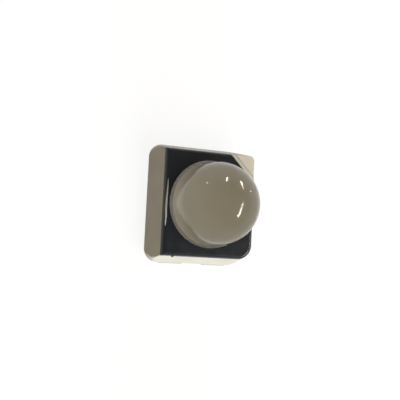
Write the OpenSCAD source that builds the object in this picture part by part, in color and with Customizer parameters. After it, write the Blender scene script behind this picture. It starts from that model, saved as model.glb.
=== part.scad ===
// Surface-mount LED: a moulded body with a black face, a milky dome lens and four J-bent leads.
// X points out of the plain sides, Y out of the lead sides, and Z along the light axis.
// The origin is the centre of the footprint, on the plane that the lead feet stand on.

/* [Body] */
// Length of the body along X, at the parting plane
body_x = 3.68; // [3.56:0.02:4.2]
// Width of the body along Y, at the parting plane
body_y = 3.96; // [3.8:0.02:4.4]
// Height of the upper half, from the parting plane to the black face
upper_h = 1.15; // [1:0.05:1.4]
// Height of the lower half, from the underside to the parting plane
lower_h = 0.5; // [0.46:0.02:0.7]
// Gap left under the body when the leads stand on a board
standoff = 0.06; // [0.03:0.01:0.1]
// How far an upper wall leans in on its way up to the face
upper_draft = 0.25; // [0.16:0.01:0.3]
// How far a lower wall leans in on its way down to the underside
lower_draft = 0.06; // [0.03:0.01:0.1]
// Height of the upright land that the mould halves leave along the parting plane
land_h = 0.04; // [0.02:0.01:0.08]
// Step in from the upper half to the lower half on the two lead sides
lead_side_step = 0.27; // [0.24:0.01:0.32]
// Step in from the upper half to the lower half on the two plain sides
plain_side_step = 0.14; // [0.1:0.01:0.2]
// Radius of the upright corners on the left side
left_corner_r = 0.45; // [0.3:0.05:0.5]
// Radius of the upright corner that the black layer leaves bare
marked_corner_r = 0.9; // [0.7:0.05:1]
// Radius of the leaning corner on the right side, at the parting plane
right_corner_r = 0.7; // [0.6:0.05:0.9]
// Radius of the lower half's upright corners
lower_corner_r = 0.3; // [0.25:0.05:0.4]
// Diameter of the gate well in the underside
well_d = 0.8; // [0.5:0.05:1]
// Depth of the gate well
well_depth = 0.06; // [0.03:0.01:0.1]

/* [Black face] */
// Thickness of the black layer
black_t = 0.16; // [0.1:0.01:0.2]
// Radius of the black layer's upper edge
black_edge_r = 0.09; // [0.06:0.01:0.12]
// Length of each leg of the corner that the black layer leaves bare
mark_leg = 0.9; // [0.7:0.02:1]
// Width of the white shoulder between the black layer and the bare corner's floor
shoulder_w = 0.18; // [0.14:0.01:0.26]
// Width of the shoulder's flat top
shoulder_top_w = 0.05; // [0.02:0.01:0.08]
// Radius of the gate nub on the black layer's lower edge
nub_r = 0.05; // [0.04:0.005:0.06]
// Distance of the gate nub from the body's centre plane
nub_x = 1.2; // [1.1:0.02:1.3]

/* [Lens] */
// Diameter of the cup's mouth at the black face
cup_mouth_d = 2.6; // [2.4:0.05:2.7]
// Diameter of the cup's floor at the leadframe
cup_floor_d = 1.9; // [1.85:0.05:2.1]
// Diameter of the lens foot that laps onto the black face
foot_d = 2.9; // [2.84:0.02:2.94]
// Height of the lens foot
foot_h = 0.05; // [0.03:0.01:0.08]
// Diameter of the dome
dome_d = 2.7; // [2.6:0.05:2.8]
// Height of the dome's centre above the black face
dome_rise = 0.63; // [0.4:0.01:0.9]
// How much the lens barrel widens from the dome down to the foot, on its radius
barrel_flare = 0.02; // [0.01:0.005:0.03]

/* [Leads] */
// Thickness of the lead metal
lead_t = 0.15; // [0.12:0.01:0.17]
// Width of each lead outside the body
lead_w = 0.8; // [0.6:0.05:0.85]
// Distance between the centres of the two leads on a side
lead_pitch = 1.6; // [1.5:0.05:1.65]
// Inside radius of the bends
bend_r = 0.07; // [0.05:0.01:0.09]
// How far the leads stand out past the edge of the body's upper half
lead_proud = 0.03; // [0.02:0.01:0.08]
// Length of a foot, from the lead's outer face to the foot's tip
lead_foot = 0.75; // [0.5:0.05:0.8]
// Room around a foot in its pocket in the underside
pocket_room = 0.05; // [0.03:0.01:0.07]
// Room between a foot and the roof of its pocket
pocket_roof = 0.02; // [0.01:0.01:0.04]
// Depth of the mould-lock notches in the edges of a lead
lock_depth = 0.08; // [0.05:0.01:0.1]
// Length of the mould-lock notches
lock_len = 0.22; // [0.15:0.01:0.3]

/* [Leadframe] */
// Half width of the bar that carries the three chips
bar_half_w = 0.27; // [0.24:0.01:0.32]
// Gap between neighbouring leadframe pieces
frame_gap = 0.14; // [0.1:0.01:0.18]
// Length of the bond pads beyond the gap along the bar
bond_pad_len = 0.7; // [0.6:0.05:0.8]
// How far the red bond pad reaches past the centre plane
red_pad_reach = 0.2; // [0.12:0.02:0.24]

/* [Chips] */
// Distance between the centres of neighbouring chips
chip_pitch = 0.5; // [0.42:0.02:0.54]
// Side of the square red chip
red_side = 0.25; // [0.2:0.01:0.3]
// Height of the red chip
red_h = 0.17; // [0.12:0.01:0.2]
// Width of the green and blue chips, along the bar
slim_w = 0.22; // [0.18:0.01:0.26]
// Length of the green and blue chips, across the bar
slim_len = 0.34; // [0.3:0.01:0.4]
// Height of the green and blue chips
slim_h = 0.1; // [0.08:0.01:0.14]
// Distance of a slim chip's two electrodes from its centre
electrode_y = 0.11; // [0.08:0.01:0.12]
// Thickness of the die attach
attach_t = 0.02; // [0.01:0.005:0.03]
// How far the die attach squeezes out past the chip
attach_fillet = 0.02; // [0.01:0.005:0.03]

/* [Bond wires] */
// Diameter of the gold wire
wire_d = 0.025; // [0.02:0.001:0.03]
// Diameter of the ball bond on a chip
ball_d = 0.075; // [0.06:0.005:0.09]
// Height of the ball bond
ball_h = 0.02; // [0.015:0.005:0.03]
// Diameter of the stitch bond on the leadframe
stitch_d = 0.07; // [0.06:0.005:0.09]
// Height of the stitch bond
stitch_h = 0.02; // [0.015:0.001:0.026]
// How steeply a wire leaves its ball: the height of the curve's first handle
loop_h = 0.25; // [0.16:0.01:0.32]
// Length of the wires that run across the bar to the cathode pads
cathode_span = 0.56; // [0.52:0.01:0.62]
// Length of the green chip's anode wire along the bar
green_anode_span = 0.28; // [0.24:0.01:0.32]
// Reach of the blue chip's anode wire along X
blue_anode_x = 0.14; // [0.1:0.01:0.2]
// Reach of the blue chip's anode wire along Y
blue_anode_y = 0.42; // [0.36:0.01:0.46]

/* [Hidden] */

corner_fn = 48;
lens_fn = 96;
arc_step = 15;
over = 1;

under_z = standoff;
part_z = under_z + lower_h;
face_z = part_z + upper_h;
black_z = face_z - black_t;
frame_z = part_z - lead_t;

lower_x = body_x - 2 * plain_side_step;
lower_y = body_y - 2 * lead_side_step;
face_x = body_x - 2 * upper_draft;
face_y = body_y - 2 * upper_draft;

// Distance from the light axis to the edge of the bare corner, measured along the diagonal
mark_dist = ((face_x + face_y) / 2 - mark_leg) / sqrt(2);

lead_x = lead_pitch / 2;
lead_outer_x = lead_x + lead_w / 2;
lead_inner_x = lead_x - lead_w / 2;
lead_face_y = body_y / 2 + lead_proud;
bend_outer_r = bend_r + lead_t;
bend_y = lead_face_y - bend_outer_r;
foot_tip_y = lead_face_y - lead_foot;
pocket_y = foot_tip_y - pocket_room;
pocket_top_z = lead_t + pocket_roof;

pad_y = bar_half_w + frame_gap;
pad_end_y = pad_y + bond_pad_len;
lock_y = (pad_end_y + lower_y / 2 - lower_draft) / 2;

dome_r = dome_d / 2;
dome_z = face_z + dome_rise;
foot_top_z = face_z + foot_h;

wire_sides = 8;
wire_steps = 14;
wire_tail_z = wire_d * 0.56;

// A half width of the upper half at height z, on a side of the given size at the parting plane
function upper_half(size, z) = size / 2 - upper_draft * (z - part_z - land_h) / (upper_h - land_h);

// A half width of the lower half at height z, on a side of the given size at the parting plane
function lower_half(size, z) = size / 2 - lower_draft * (part_z - land_h - z) / (lower_h - land_h);

// One side of the upper half's section, from the parting plane round the black layer's upper edge
function upper_side(size) = concat(
    [[upper_half(size, part_z), part_z]],
    [for (a = [0 : arc_step : 90])
        [upper_half(size, face_z) - black_edge_r * (1 - cos(a)), face_z - black_edge_r * (1 - sin(a))]]);

function lower_side(size) = [[lower_half(size, under_z), under_z], [lower_half(size, part_z), part_z]];

function mirrored(points) = [for (i = [len(points) - 1 : -1 : 0]) [-points[i][0], points[i][1]]];

// A prism with the section's leaning sides as its X walls
module prism_along_y(side_points, length) {
    rotate([90, 0, 0])
        linear_extrude(length, center = true)
            polygon(concat(side_points, mirrored(side_points)));
}

// A prism with the section's leaning sides as its Y walls
module prism_along_x(side_points, length) {
    rotate([90, 0, 90])
        linear_extrude(length, center = true)
            polygon(concat(side_points, mirrored(side_points)));
}

// What a corner of radius r loses, in the quadrant where both coordinates are positive
module corner_waste(half_x, half_y, r) {
    translate([half_x - r, half_y - r])
        difference() {
            square(r + over);
            circle(r, $fn = corner_fn);
        }
}

module body_outline() {
    difference() {
        square([body_x, body_y], center = true);
        corner_waste(body_x / 2, body_y / 2, marked_corner_r);
        mirror([0, 1]) corner_waste(body_x / 2, body_y / 2, right_corner_r);
        for (flip = [0, 1])
            mirror([0, flip]) mirror([1, 0]) corner_waste(body_x / 2, body_y / 2, left_corner_r);
    }
}

// What the upper half loses at the corner whose rounding leans in with the walls
module leaning_corner_waste() {
    r = right_corner_r;
    translate([body_x / 2 - r, body_y / 2 - r, 0])
        difference() {
            translate([0, 0, part_z]) cube([r + over, r + over, upper_h + over]);
            rotate_extrude($fn = corner_fn)
                polygon(concat([[0, part_z]], upper_side(2 * r), [[0, face_z]]));
        }
}

module upper_form() {
    difference() {
        intersection() {
            translate([0, 0, part_z]) linear_extrude(upper_h) body_outline();
            prism_along_y(upper_side(body_x), body_y + over);
            prism_along_x(upper_side(body_y), body_x + over);
        }
        mirror([0, 1, 0]) leaning_corner_waste();
    }
}

module lower_outline() {
    difference() {
        square([lower_x, lower_y], center = true);
        for (flip_x = [0, 1], flip_y = [0, 1])
            mirror([flip_x, 0]) mirror([0, flip_y]) corner_waste(lower_x / 2, lower_y / 2, lower_corner_r);
    }
}

module lower_form() {
    intersection() {
        translate([0, 0, under_z]) linear_extrude(lower_h) lower_outline();
        prism_along_y(lower_side(lower_x), body_y + over);
        prism_along_x(lower_side(lower_y), body_x + over);
    }
}

module below(z) {
    translate([-body_x, -body_y, 0]) cube([2 * body_x, 2 * body_y, z]);
}

// The reflector cup, from the leadframe to the mouth in the black face
module cup() {
    translate([0, 0, part_z])
        cylinder(h = upper_h, d1 = cup_floor_d, d2 = cup_mouth_d, $fn = lens_fn);
}

// Everything past the edge of the bare corner
module beyond_mark(reach) {
    rotate([0, 0, 45])
        translate([mark_dist, -body_x, black_z - over])
            cube([reach, 2 * body_x, black_t + 2 * over]);
}

// The white shoulder that the black layer stops against
module shoulder() {
    rotate([90, 0, 45])
        linear_extrude(2 * body_x, center = true)
            polygon([[mark_dist, black_z - over / 4], [mark_dist, face_z + over / 4],
                     [mark_dist + shoulder_top_w, face_z + over / 4], [mark_dist + shoulder_top_w, face_z],
                     [mark_dist + shoulder_w, black_z], [mark_dist + shoulder_w, black_z - over / 4]]);
}

// The pockets in the underside that the feet fold into
module foot_pockets() {
    for (side_x = [-1, 1], side_y = [0, 1])
        mirror([0, side_y, 0])
            translate([side_x * lead_x - lead_w / 2 - pocket_room, pocket_y, 0])
                cube([lead_w + 2 * pocket_room, body_y, pocket_top_z]);
}

module gate_well() {
    cylinder(h = under_z + well_depth, d = well_d, $fn = corner_fn);
}

module housing() {
    color([0.76, 0.73, 0.67])
        difference() {
            union() {
                lower_form();
                intersection() {
                    upper_form();
                    union() {
                        below(black_z);
                        shoulder();
                    }
                }
            }
            cup();
            foot_pockets();
            gate_well();
            common_anode_lead();
            red_cathode_lead();
            green_cathode_lead();
            blue_cathode_lead();
        }
}

module black_face() {
    color([0.16, 0.16, 0.17])
        difference() {
            union() {
                upper_form();
                translate([-nub_x, -upper_half(body_y, black_z + black_t / 2), part_z])
                    cylinder(h = upper_h - black_edge_r, r = nub_r, $fn = corner_fn);
            }
            below(black_z);
            cup();
            beyond_mark(body_x);
        }
}

module dome_lens() {
    color([0.52, 0.49, 0.43])
        difference() {
            union() {
                cup();
                translate([0, 0, face_z]) cylinder(h = foot_h, d = foot_d, $fn = lens_fn);
                translate([0, 0, foot_top_z])
                    cylinder(h = dome_rise - foot_h, r1 = dome_r + barrel_flare, r2 = dome_r, $fn = lens_fn);
                translate([0, 0, dome_z])
                    intersection() {
                        sphere(dome_r, $fn = lens_fn);
                        translate([-dome_d, -dome_d, 0]) cube([2 * dome_d, 2 * dome_d, dome_d]);
                    }
            }
            red_chip();
            green_chip();
            blue_chip();
            red_die_attach();
            green_die_attach();
            blue_die_attach();
            red_cathode_wire();
            green_anode_wire();
            green_cathode_wire();
            blue_anode_wire();
            blue_cathode_wire();
        }
}

// A quarter of the metal ring in a bend, in the quadrant where both coordinates are positive
module bend() {
    intersection() {
        difference() {
            circle(bend_outer_r, $fn = corner_fn);
            circle(bend_r, $fn = corner_fn);
        }
        square(bend_outer_r);
    }
}

// The side view of a lead: out of the body, down its side and back under it
module lead_profile() {
    bend_low_z = bend_outer_r;
    bend_high_z = part_z - bend_outer_r;
    translate([lower_y / 2 - lower_draft, frame_z])
        square([bend_y - lower_y / 2 + lower_draft, lead_t]);
    translate([bend_y, bend_high_z]) bend();
    translate([lead_face_y - lead_t, bend_low_z]) square([lead_t, bend_high_z - bend_low_z]);
    translate([bend_y, bend_low_z]) mirror([0, 1]) bend();
    translate([foot_tip_y, 0]) square([bend_y - foot_tip_y, lead_t]);
}

// The leg of a lead on the +Y side: its bent end, and its run through the body wall with lock notches
module lead_leg(side_x) {
    translate([side_x * lead_x, 0, 0])
        rotate([90, 0, 90])
            linear_extrude(lead_w, center = true)
                lead_profile();
    translate([side_x * lead_x, 0, frame_z])
        linear_extrude(lead_t)
            difference() {
                translate([-lead_w / 2, pad_y]) square([lead_w, bend_y - pad_y]);
                for (edge = [-1, 1])
                    translate([edge * lead_w / 2, lock_y])
                        square([2 * lock_depth, lock_len], center = true);
            }
}

// A flat piece of leadframe between two corners
module frame_plate(low, high) {
    translate([low[0], low[1], frame_z]) cube([high[0] - low[0], high[1] - low[1], lead_t]);
}

module common_anode_lead() {
    color([0.72, 0.72, 0.72])
        union() {
            lead_leg(1);
            frame_plate([-cup_floor_d / 2, -bar_half_w], [lead_outer_x, bar_half_w]);
            frame_plate([lead_inner_x, 0], [lead_outer_x, pad_end_y]);
        }
}

module red_cathode_lead() {
    color([0.72, 0.72, 0.72])
        union() {
            lead_leg(-1);
            frame_plate([-lead_outer_x, pad_y], [red_pad_reach, pad_end_y]);
        }
}

module green_cathode_lead() {
    color([0.72, 0.72, 0.72])
        mirror([0, 1, 0])
            union() {
                lead_leg(-1);
                frame_plate([-lead_outer_x, pad_y], [-frame_gap / 2, pad_end_y]);
            }
}

module blue_cathode_lead() {
    color([0.72, 0.72, 0.72])
        mirror([0, 1, 0])
            union() {
                lead_leg(1);
                frame_plate([frame_gap / 2, pad_y], [lead_outer_x, pad_end_y]);
            }
}

module chip(x, size_x, size_y, height) {
    translate([x - size_x / 2, -size_y / 2, part_z + attach_t]) cube([size_x, size_y, height]);
}

module die_attach(x, size_x, size_y) {
    translate([x - size_x / 2 - attach_fillet, -size_y / 2 - attach_fillet, part_z])
        cube([size_x + 2 * attach_fillet, size_y + 2 * attach_fillet, attach_t]);
}

module red_chip() {
    color([0.45, 0.2, 0.18]) chip(0, red_side, red_side, red_h);
}

module green_chip() {
    color([0.3, 0.5, 0.35]) chip(-chip_pitch, slim_w, slim_len, slim_h);
}

module blue_chip() {
    color([0.3, 0.4, 0.6]) chip(chip_pitch, slim_w, slim_len, slim_h);
}

module red_die_attach() {
    color([0.7, 0.7, 0.68]) die_attach(0, red_side, red_side);
}

module green_die_attach() {
    color([0.85, 0.83, 0.75]) die_attach(-chip_pitch, slim_w, slim_len);
}

module blue_die_attach() {
    color([0.85, 0.83, 0.75]) die_attach(chip_pitch, slim_w, slim_len);
}

// A point at share t of the curve through four handles
function curve_point(p, t) =
    pow(1 - t, 3) * p[0] + 3 * pow(1 - t, 2) * t * p[1] + 3 * (1 - t) * pow(t, 2) * p[2] + pow(t, 3) * p[3];

function curve_slope(p, t) =
    pow(1 - t, 2) * (p[1] - p[0]) + 2 * (1 - t) * t * (p[2] - p[1]) + pow(t, 2) * (p[3] - p[2]);

// A gold wire in the plane of its span: from a ball at height rise over the pad to a stitch on the pad
module wire_loop(span, rise) {
    handles = [[0, rise + ball_h / 2], [0, rise + loop_h], [0.85 * span, wire_tail_z], [span, wire_tail_z]];
    rings = [for (i = [0 : wire_steps])
        let (t = i / wire_steps,
             centre = curve_point(handles, t),
             slope = curve_slope(handles, t) / norm(curve_slope(handles, t)))
        [for (k = [0 : wire_sides - 1])
            let (a = 360 * (k + 0.5) / wire_sides, side = wire_d / 2 * cos(a), lift = wire_d / 2 * sin(a))
            [centre[0] - slope[1] * lift, side, centre[1] + slope[0] * lift]]];
    last = wire_steps * wire_sides;
    skin = [for (i = [0 : wire_steps - 1], k = [0 : wire_sides - 1])
        let (a = i * wire_sides + k, b = i * wire_sides + (k + 1) % wire_sides)
        [a, b, b + wire_sides, a + wire_sides]];
    near_cap = [[for (k = [wire_sides - 1 : -1 : 0]) k]];
    far_cap = [[for (k = [0 : wire_sides - 1]) last + k]];
    polyhedron([for (ring = rings, point = ring) point], concat(skin, near_cap, far_cap), convexity = 4);
    translate([0, 0, rise]) cylinder(h = ball_h, d = ball_d, $fn = wire_sides);
    translate([span, 0, 0]) cylinder(h = stitch_h, d = stitch_d, $fn = wire_sides);
}

// A bond wire from a chip's electrode, turned towards its pad
module bond_wire(x, y, chip_h, reach_x, reach_y) {
    color([0.85, 0.68, 0.3])
        translate([x, y, part_z])
            rotate([0, 0, atan2(reach_y, reach_x)])
                wire_loop(norm([reach_x, reach_y]), attach_t + chip_h);
}

module red_cathode_wire() {
    bond_wire(0, 0, red_h, 0, cathode_span + electrode_y);
}

module green_anode_wire() {
    bond_wire(-chip_pitch, electrode_y, slim_h, -green_anode_span, 0);
}

module green_cathode_wire() {
    bond_wire(-chip_pitch, -electrode_y, slim_h, 0, -cathode_span);
}

module blue_anode_wire() {
    bond_wire(chip_pitch, electrode_y, slim_h, blue_anode_x, blue_anode_y);
}

module blue_cathode_wire() {
    bond_wire(chip_pitch, -electrode_y, slim_h, 0, -cathode_span);
}

housing();
black_face();
dome_lens();
common_anode_lead();
red_cathode_lead();
green_cathode_lead();
blue_cathode_lead();
red_chip();
green_chip();
blue_chip();
red_die_attach();
green_die_attach();
blue_die_attach();
red_cathode_wire();
green_anode_wire();
green_cathode_wire();
blue_anode_wire();
blue_cathode_wire();
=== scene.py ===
# %% [markdown]
# # A surface-mount LED, piece by piece
# The object is a small surface-mount light: a white moulded body, a black layer on its face, a tall
# milky lens, and four silvery leads folded down the sides and under the body. Inside the lens sit three
# chips with their gold wires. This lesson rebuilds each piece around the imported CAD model, which is
# loaded as a fixed frame, so every piece is made at its real place and size.

# %% Load the frame and note its size
import math

import bmesh
import bpy
import numpy as np
from mathutils import Matrix, Vector


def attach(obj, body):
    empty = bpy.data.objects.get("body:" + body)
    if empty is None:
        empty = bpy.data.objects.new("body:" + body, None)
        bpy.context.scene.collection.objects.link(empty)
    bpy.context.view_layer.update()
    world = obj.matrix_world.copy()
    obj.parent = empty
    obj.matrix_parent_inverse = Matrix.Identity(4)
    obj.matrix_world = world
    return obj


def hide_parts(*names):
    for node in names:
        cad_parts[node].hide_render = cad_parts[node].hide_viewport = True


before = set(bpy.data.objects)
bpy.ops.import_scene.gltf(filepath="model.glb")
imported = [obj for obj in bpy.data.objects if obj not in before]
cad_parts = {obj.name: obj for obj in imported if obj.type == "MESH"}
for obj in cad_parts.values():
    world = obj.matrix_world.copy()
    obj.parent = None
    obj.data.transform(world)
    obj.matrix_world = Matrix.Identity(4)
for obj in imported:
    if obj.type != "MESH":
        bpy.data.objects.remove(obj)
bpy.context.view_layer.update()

# %% [markdown]
# ## The bench
# The real object is under four millimetres tall. Blender's modelling tools have tolerances that suit metres,
# and would weld such small details together. So each piece is drawn on a bench where one unit is one
# millimetre, with its cuts and bevels applied there, and is scaled to metres as the last step.

# %% The bench's scale and the body's sizes, in millimetres
METRES_PER_MM = 0.001
BODY = "root"

BODY_X, BODY_Y = 3.68, 3.96
UNDER_Z, PART_Z, FACE_Z = 0.06, 0.56, 1.71
BLACK_Z = 1.55
LAND_H = 0.04
UPPER_DRAFT, LOWER_DRAFT = 0.25, 0.06
LOWER_X, LOWER_Y = 3.40, 3.42
LEFT_CORNER_R, MARKED_CORNER_R, RIGHT_CORNER_R, LOWER_CORNER_R = 0.45, 0.90, 0.70, 0.30
print("body", BODY_X, "x", BODY_Y, "mm, face at", FACE_Z, "mm")

# %% [markdown]
# ## Camera
# The photograph looks down on the face from the left, 24 degrees off the light axis and slightly from
# below the middle, and is turned by almost 3 degrees. The camera's place comes from fitting the black
# face's corners, the lens foot and the dome's round outline in the picture.

# %% Place the camera
LEAN, DROP, ROLL = math.radians(23.66), math.radians(4.20), math.radians(2.80)
CAMERA_AWAY = 25.61
FOCAL_PIXELS, PICTURE_PIXELS, SENSOR_MM = 775.5, 400, 36.0
FACE_PIXEL = (210.51, 204.37)

look_from = Vector((-math.sin(LEAN) * math.cos(DROP), -math.sin(DROP), math.cos(LEAN) * math.cos(DROP)))
level_right = (-look_from).cross(Vector((0, 1, 0))).normalized()
level_up = level_right.cross(-look_from)
picture_right = math.cos(ROLL) * level_right + math.sin(ROLL) * level_up
picture_up = math.cos(ROLL) * level_up - math.sin(ROLL) * level_right

camera_data = bpy.data.cameras.new("camera")
camera_data.sensor_width = SENSOR_MM
camera_data.lens = FOCAL_PIXELS * SENSOR_MM / PICTURE_PIXELS
camera_data.clip_start, camera_data.clip_end = 0.001, 2.0
half_picture = PICTURE_PIXELS / 2
camera_data.shift_x = (half_picture - FACE_PIXEL[0]) / PICTURE_PIXELS
camera_data.shift_y = (FACE_PIXEL[1] - half_picture) / PICTURE_PIXELS
camera = bpy.data.objects.new("camera", camera_data)
bpy.context.scene.collection.objects.link(camera)
turn = Matrix((picture_right, picture_up, look_from)).transposed().to_4x4()
eye = (Vector((0, 0, FACE_Z)) + CAMERA_AWAY * look_from) * METRES_PER_MM
camera.matrix_world = Matrix.Translation(eye) @ turn
bpy.context.scene.camera = camera
print("camera at", [round(1000 * v, 2) for v in eye], "mm, lens", round(camera_data.lens, 1), "mm")

# %% [markdown]
# ## Shaping helpers
# Most of the pieces are skins stretched over a stack of closed loops, like a boat's planks over its
# ribs. Every loop has the same number of points, so each ring of faces is a clean ring of quads.

# %% Skin a stack of loops
def skin(loops, close_start=True, close_end=True):
    """Points and faces of a skin over loops that all have the same number of points."""
    count = len(loops[0])
    points = [tuple(p) for loop in loops for p in loop]
    faces = []
    for ring in range(len(loops) - 1):
        low, high = ring * count, (ring + 1) * count
        for i in range(count):
            j = (i + 1) % count
            faces.append((low + i, low + j, high + j, high + i))
    if close_start:
        faces.append(tuple(reversed(range(count))))
    if close_end:
        faces.append(tuple(range((len(loops) - 1) * count, len(loops) * count)))
    return points, faces


def lathe(profile, steps):
    """A closed solid turned about Z. The profile runs from the axis out and back to the axis."""
    angles = np.arange(steps) * 2 * math.pi / steps
    points = [(0.0, 0.0, profile[0][1])]
    for r, z in profile[1:-1]:
        points += [(r * math.cos(a), r * math.sin(a), z) for a in angles]
    points.append((0.0, 0.0, profile[-1][1]))
    rings = len(profile) - 2
    top = len(points) - 1
    faces = []
    for i in range(steps):
        j = (i + 1) % steps
        faces.append((0, 1 + j, 1 + i))
        for ring in range(rings - 1):
            low, high = 1 + ring * steps, 1 + (ring + 1) * steps
            faces.append((low + i, low + j, high + j, high + i))
        last = 1 + (rings - 1) * steps
        faces.append((last + i, last + j, top))
    return points, faces


def join_shells(*shells):
    """Several point and face lists as one."""
    points, faces = [], []
    for shell_points, shell_faces in shells:
        start = len(points)
        points += [tuple(p) for p in shell_points]
        faces += [tuple(start + i for i in face) for face in shell_faces]
    return points, faces


# %% [markdown]
# Cuts such as the pockets and the bare corner are made with Boolean modifiers on the bench. The result
# is read back as a plain mesh, so no modifier is left on a finished piece.

# %% Bench objects, cuts and bevels
def on_bench(name, shell):
    """A bench object in millimetres, with its faces turned outwards."""
    mesh = bpy.data.meshes.new(name)
    mesh.from_pydata([tuple(p) for p in shell[0]], [], [tuple(f) for f in shell[1]])
    work = bmesh.new()
    work.from_mesh(mesh)
    bmesh.ops.recalc_face_normals(work, faces=work.faces)
    work.to_mesh(mesh)
    work.free()
    piece = bpy.data.objects.new(name, mesh)
    bpy.context.scene.collection.objects.link(piece)
    return piece


def apply_modifiers(piece):
    """Put what the modifiers make into the mesh itself."""
    shaped = bpy.data.meshes.new_from_object(piece.evaluated_get(bpy.context.evaluated_depsgraph_get()))
    piece.modifiers.clear()
    piece.data = shaped


def cut_away(piece, *cutters):
    """Cut each of the cutters' solids out of the piece."""
    for cutter in cutters:
        cut = piece.modifiers.new("cut", "BOOLEAN")
        cut.operation = "DIFFERENCE"
        cut.solver = "EXACT"
        cut.object = cutter
    apply_modifiers(piece)
    for cutter in cutters:
        bpy.data.objects.remove(cutter)


def ease_edges(piece, width, segments=2, least_angle=40):
    """Round the sharp edges that a mould or a punch never leaves knife sharp."""
    ease = piece.modifiers.new("ease", "BEVEL")
    ease.width = width
    ease.segments = segments
    ease.limit_method = "ANGLE"
    ease.angle_limit = math.radians(least_angle)
    ease.miter_outer = "MITER_ARC"
    apply_modifiers(piece)


def into_place(piece, name, finish, slot, *stands_for, smooth_below=32, even=True):
    """Shade a bench piece evenly, scale it to metres, give it its finish, and fix it to the frame."""
    for polygon in piece.data.polygons:
        polygon.use_smooth = True
    piece.data.set_sharp_from_angle(angle=math.radians(smooth_below))
    if even:
        weigh = piece.modifiers.new("even_shading", "WEIGHTED_NORMAL")
        weigh.keep_sharp = True
        apply_modifiers(piece)
    piece.data.transform(Matrix.Scale(METRES_PER_MM, 4))
    piece.name = name
    piece.data.name = name
    piece.data.materials.clear()
    piece.data.materials.append(finish)
    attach(piece, BODY)
    if stands_for:
        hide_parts(*stands_for)
    print(name, len(piece.data.polygons), "faces,", slot)
    return piece


# %% [markdown]
# ## Finishes
# Every finish is a small node tree on a Principled shader. Object coordinates are in metres here, so a
# pattern with features of a tenth of a millimetre needs a scale of about ten thousand.

# %% Build node trees with few words
def new_finish(name):
    """A material with its tree, its Principled shader and its object coordinates."""
    material = bpy.data.materials.new(name)
    material.use_nodes = True
    tree = material.node_tree
    shader = tree.nodes["Principled BSDF"]
    place = tree.nodes.new("ShaderNodeTexCoord")
    return material, tree, shader, place.outputs["Object"]


def cloud(tree, where, size_mm, detail=3.0, stretch=(1, 1, 1)):
    """Soft random patches of about the given size."""
    mapping = tree.nodes.new("ShaderNodeMapping")
    mapping.inputs["Scale"].default_value = stretch
    tree.links.new(where, mapping.inputs["Vector"])
    noise = tree.nodes.new("ShaderNodeTexNoise")
    noise.inputs["Scale"].default_value = 1 / (size_mm * METRES_PER_MM)
    noise.inputs["Detail"].default_value = detail
    tree.links.new(mapping.outputs["Vector"], noise.inputs["Vector"])
    return noise.outputs["Fac"]


def between(tree, factor, stops):
    """A colour ramp through (position, colour) stops."""
    ramp = tree.nodes.new("ShaderNodeValToRGB")
    elements = ramp.color_ramp.elements
    while len(elements) < len(stops):
        elements.new(0.5)
    for element, (position, colour) in zip(elements, stops):
        element.position = position
        element.color = (*colour, 1) if len(colour) == 3 else colour
    tree.links.new(factor, ramp.inputs["Fac"])
    return ramp.outputs["Color"]


def grey(value):
    return (value, value, value)


def roughen(tree, shader, height, depth_mm, strength=1.0, socket="Normal"):
    """Bump from a height pattern, with its depth in millimetres."""
    bump = tree.nodes.new("ShaderNodeBump")
    bump.inputs["Strength"].default_value = strength
    bump.inputs["Distance"].default_value = depth_mm * METRES_PER_MM
    tree.links.new(height, bump.inputs["Height"])
    tree.links.new(bump.outputs["Normal"], shader.inputs[socket])
    return bump


# %% [markdown]
# ## Finish: white body plastic
# The body is moulded from a heat-proof plastic filled with a white pigment. It is a warm, slightly
# creamy white with a dull skin. A fine grain comes from the spark-eroded mould, and the colour drifts a
# little because handling greys it.

# %% The white body plastic
def make_white_plastic():
    material, tree, shader, where = new_finish("white_body_plastic")
    drift = cloud(tree, where, 0.9, detail=4)
    colour = between(tree, drift, [(0.30, (0.56, 0.53, 0.455)), (0.70, (0.63, 0.60, 0.525))])
    tree.links.new(colour, shader.inputs["Base Color"])
    sheen = between(tree, cloud(tree, where, 0.12, detail=2), [(0.3, grey(0.42)), (0.7, grey(0.58))])
    tree.links.new(sheen, shader.inputs["Roughness"])
    shader.inputs["Specular IOR Level"].default_value = 0.35
    roughen(tree, shader, cloud(tree, where, 0.03, detail=3), 0.0025)
    return material


white_plastic = make_white_plastic()
print("made", white_plastic.name)

# %% [markdown]
# ## Finish: black layer
# The black layer keeps stray light down, so that the lit LED stands out in a display. It is a filled
# epoxy: almost black with a cold tint, and satin, so that its rounded edges catch soft bright lines. The
# bump is kept tiny, because deeper grain would break those lines up.

# %% The black layer's resin
def make_black_resin():
    material, tree, shader, where = new_finish("black_face_resin")
    drift = cloud(tree, where, 0.7, detail=3)
    colour = between(tree, drift, [(0.3, (0.0068, 0.0094, 0.0124)), (0.7, (0.0094, 0.0120, 0.0152))])
    tree.links.new(colour, shader.inputs["Base Color"])
    sheen = between(tree, cloud(tree, where, 0.25, detail=3), [(0.3, grey(0.20)), (0.7, grey(0.28))])
    tree.links.new(sheen, shader.inputs["Roughness"])
    shader.inputs["Specular IOR Level"].default_value = 0.36
    roughen(tree, shader, cloud(tree, where, 0.09, detail=2), 0.0007)
    return material


black_resin = make_black_resin()
print("made", black_resin.name)
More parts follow.
